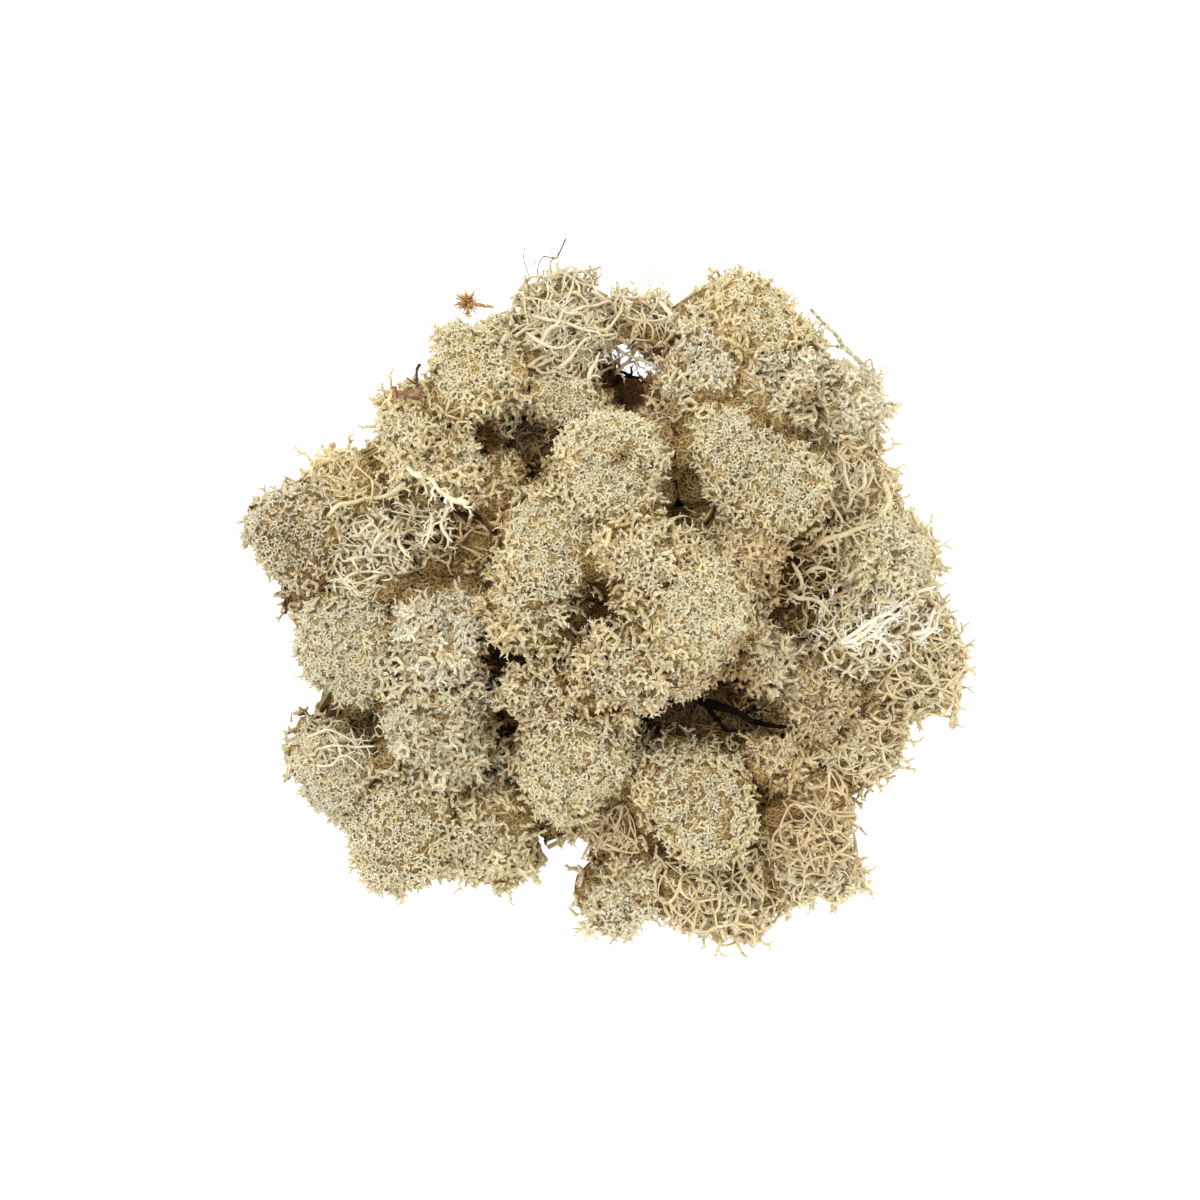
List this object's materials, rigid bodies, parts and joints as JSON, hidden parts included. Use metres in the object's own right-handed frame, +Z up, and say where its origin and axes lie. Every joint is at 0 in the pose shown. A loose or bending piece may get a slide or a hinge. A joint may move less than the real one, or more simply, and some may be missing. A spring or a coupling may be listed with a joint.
{
  "type": "reindeer moss clump",
  "caption": "Loose mound of rounded, finely branched pale lichen heads in layers on dead brown stems, with a few caught twigs; lies on its flat underside as filler or ground cover.",
  "frame": {"origin": "middle of the small flat spot under the dead stems that the clump rests on", "axes": "+Z up out of the surface it rests on, towards the tops of the heads; +Y towards the side with the two open tufts and the tall knob; +X completes a right-handed frame"},
  "size_m": [0.2042, 0.1956, 0.0694],
  "materials": {
    "lichen_cream": "matte",
    "lichen_golden": "matte",
    "lichen_grey": "matte",
    "lichen_tan": "matte",
    "lichen_white": "matte",
    "dead_brown": "matte",
    "twig_black": "matte",
    "twig_green": "matte",
    "bark_brown": "matte",
    "rusty": "matte"
  },
  "bodies": {
    "root": {"head_middle_1": "lichen_cream", "head_middle_2": "lichen_white", "head_middle_3": "lichen_cream", "head_middle_4": "lichen_cream", "head_middle_5": "lichen_golden", "head_middle_6": "lichen_golden", "head_middle_7": "lichen_golden", "head_middle_8": "lichen_golden", "head_middle_9": "lichen_golden", "head_middle_10": "lichen_golden", "head_middle_11": "lichen_cream", "head_middle_12": "lichen_cream", "head_middle_13": "lichen_cream", "head_left_1": "lichen_grey", "head_left_2": "lichen_white", "head_left_3": "lichen_grey", "head_left_4": "lichen_white", "head_left_5": "lichen_grey", "head_left_6": "lichen_grey", "head_left_7": "lichen_cream", "head_left_8": "lichen_cream", "head_left_9": "lichen_tan", "head_top_1": "lichen_golden", "head_top_2": "lichen_golden", "head_top_3": "lichen_golden", "head_top_4": "lichen_cream", "head_top_5": "lichen_golden", "head_top_6": "lichen_golden", "head_top_7": "lichen_tan", "head_right_1": "lichen_golden", "head_right_2": "lichen_golden", "head_right_3": "lichen_golden", "head_right_4": "lichen_golden", "head_right_5": "lichen_golden", "head_right_6": "lichen_tan", "head_right_7": "lichen_cream", "head_right_8": "lichen_white", "head_right_9": "lichen_tan", "head_right_10": "lichen_grey", "head_right_11": "lichen_tan", "head_right_12": "lichen_tan", "head_bottom_1": "lichen_golden", "head_bottom_2": "lichen_golden", "head_bottom_3": "lichen_golden", "head_bottom_4": "lichen_tan", "head_bottom_5": "lichen_golden", "head_bottom_6": "lichen_golden", "mat_middle": "dead_brown", "mat_left": "dead_brown", "mat_right": "dead_brown", "mat_top": "dead_brown", "mat_far": "dead_brown", "black_twig": "twig_black", "green_twig": "twig_green", "rusty_shoot": "rusty", "bark_stub": "bark_brown", "dark_stem": "twig_black", "hooked_thread": "twig_black"}
  },
  "joints": []
}
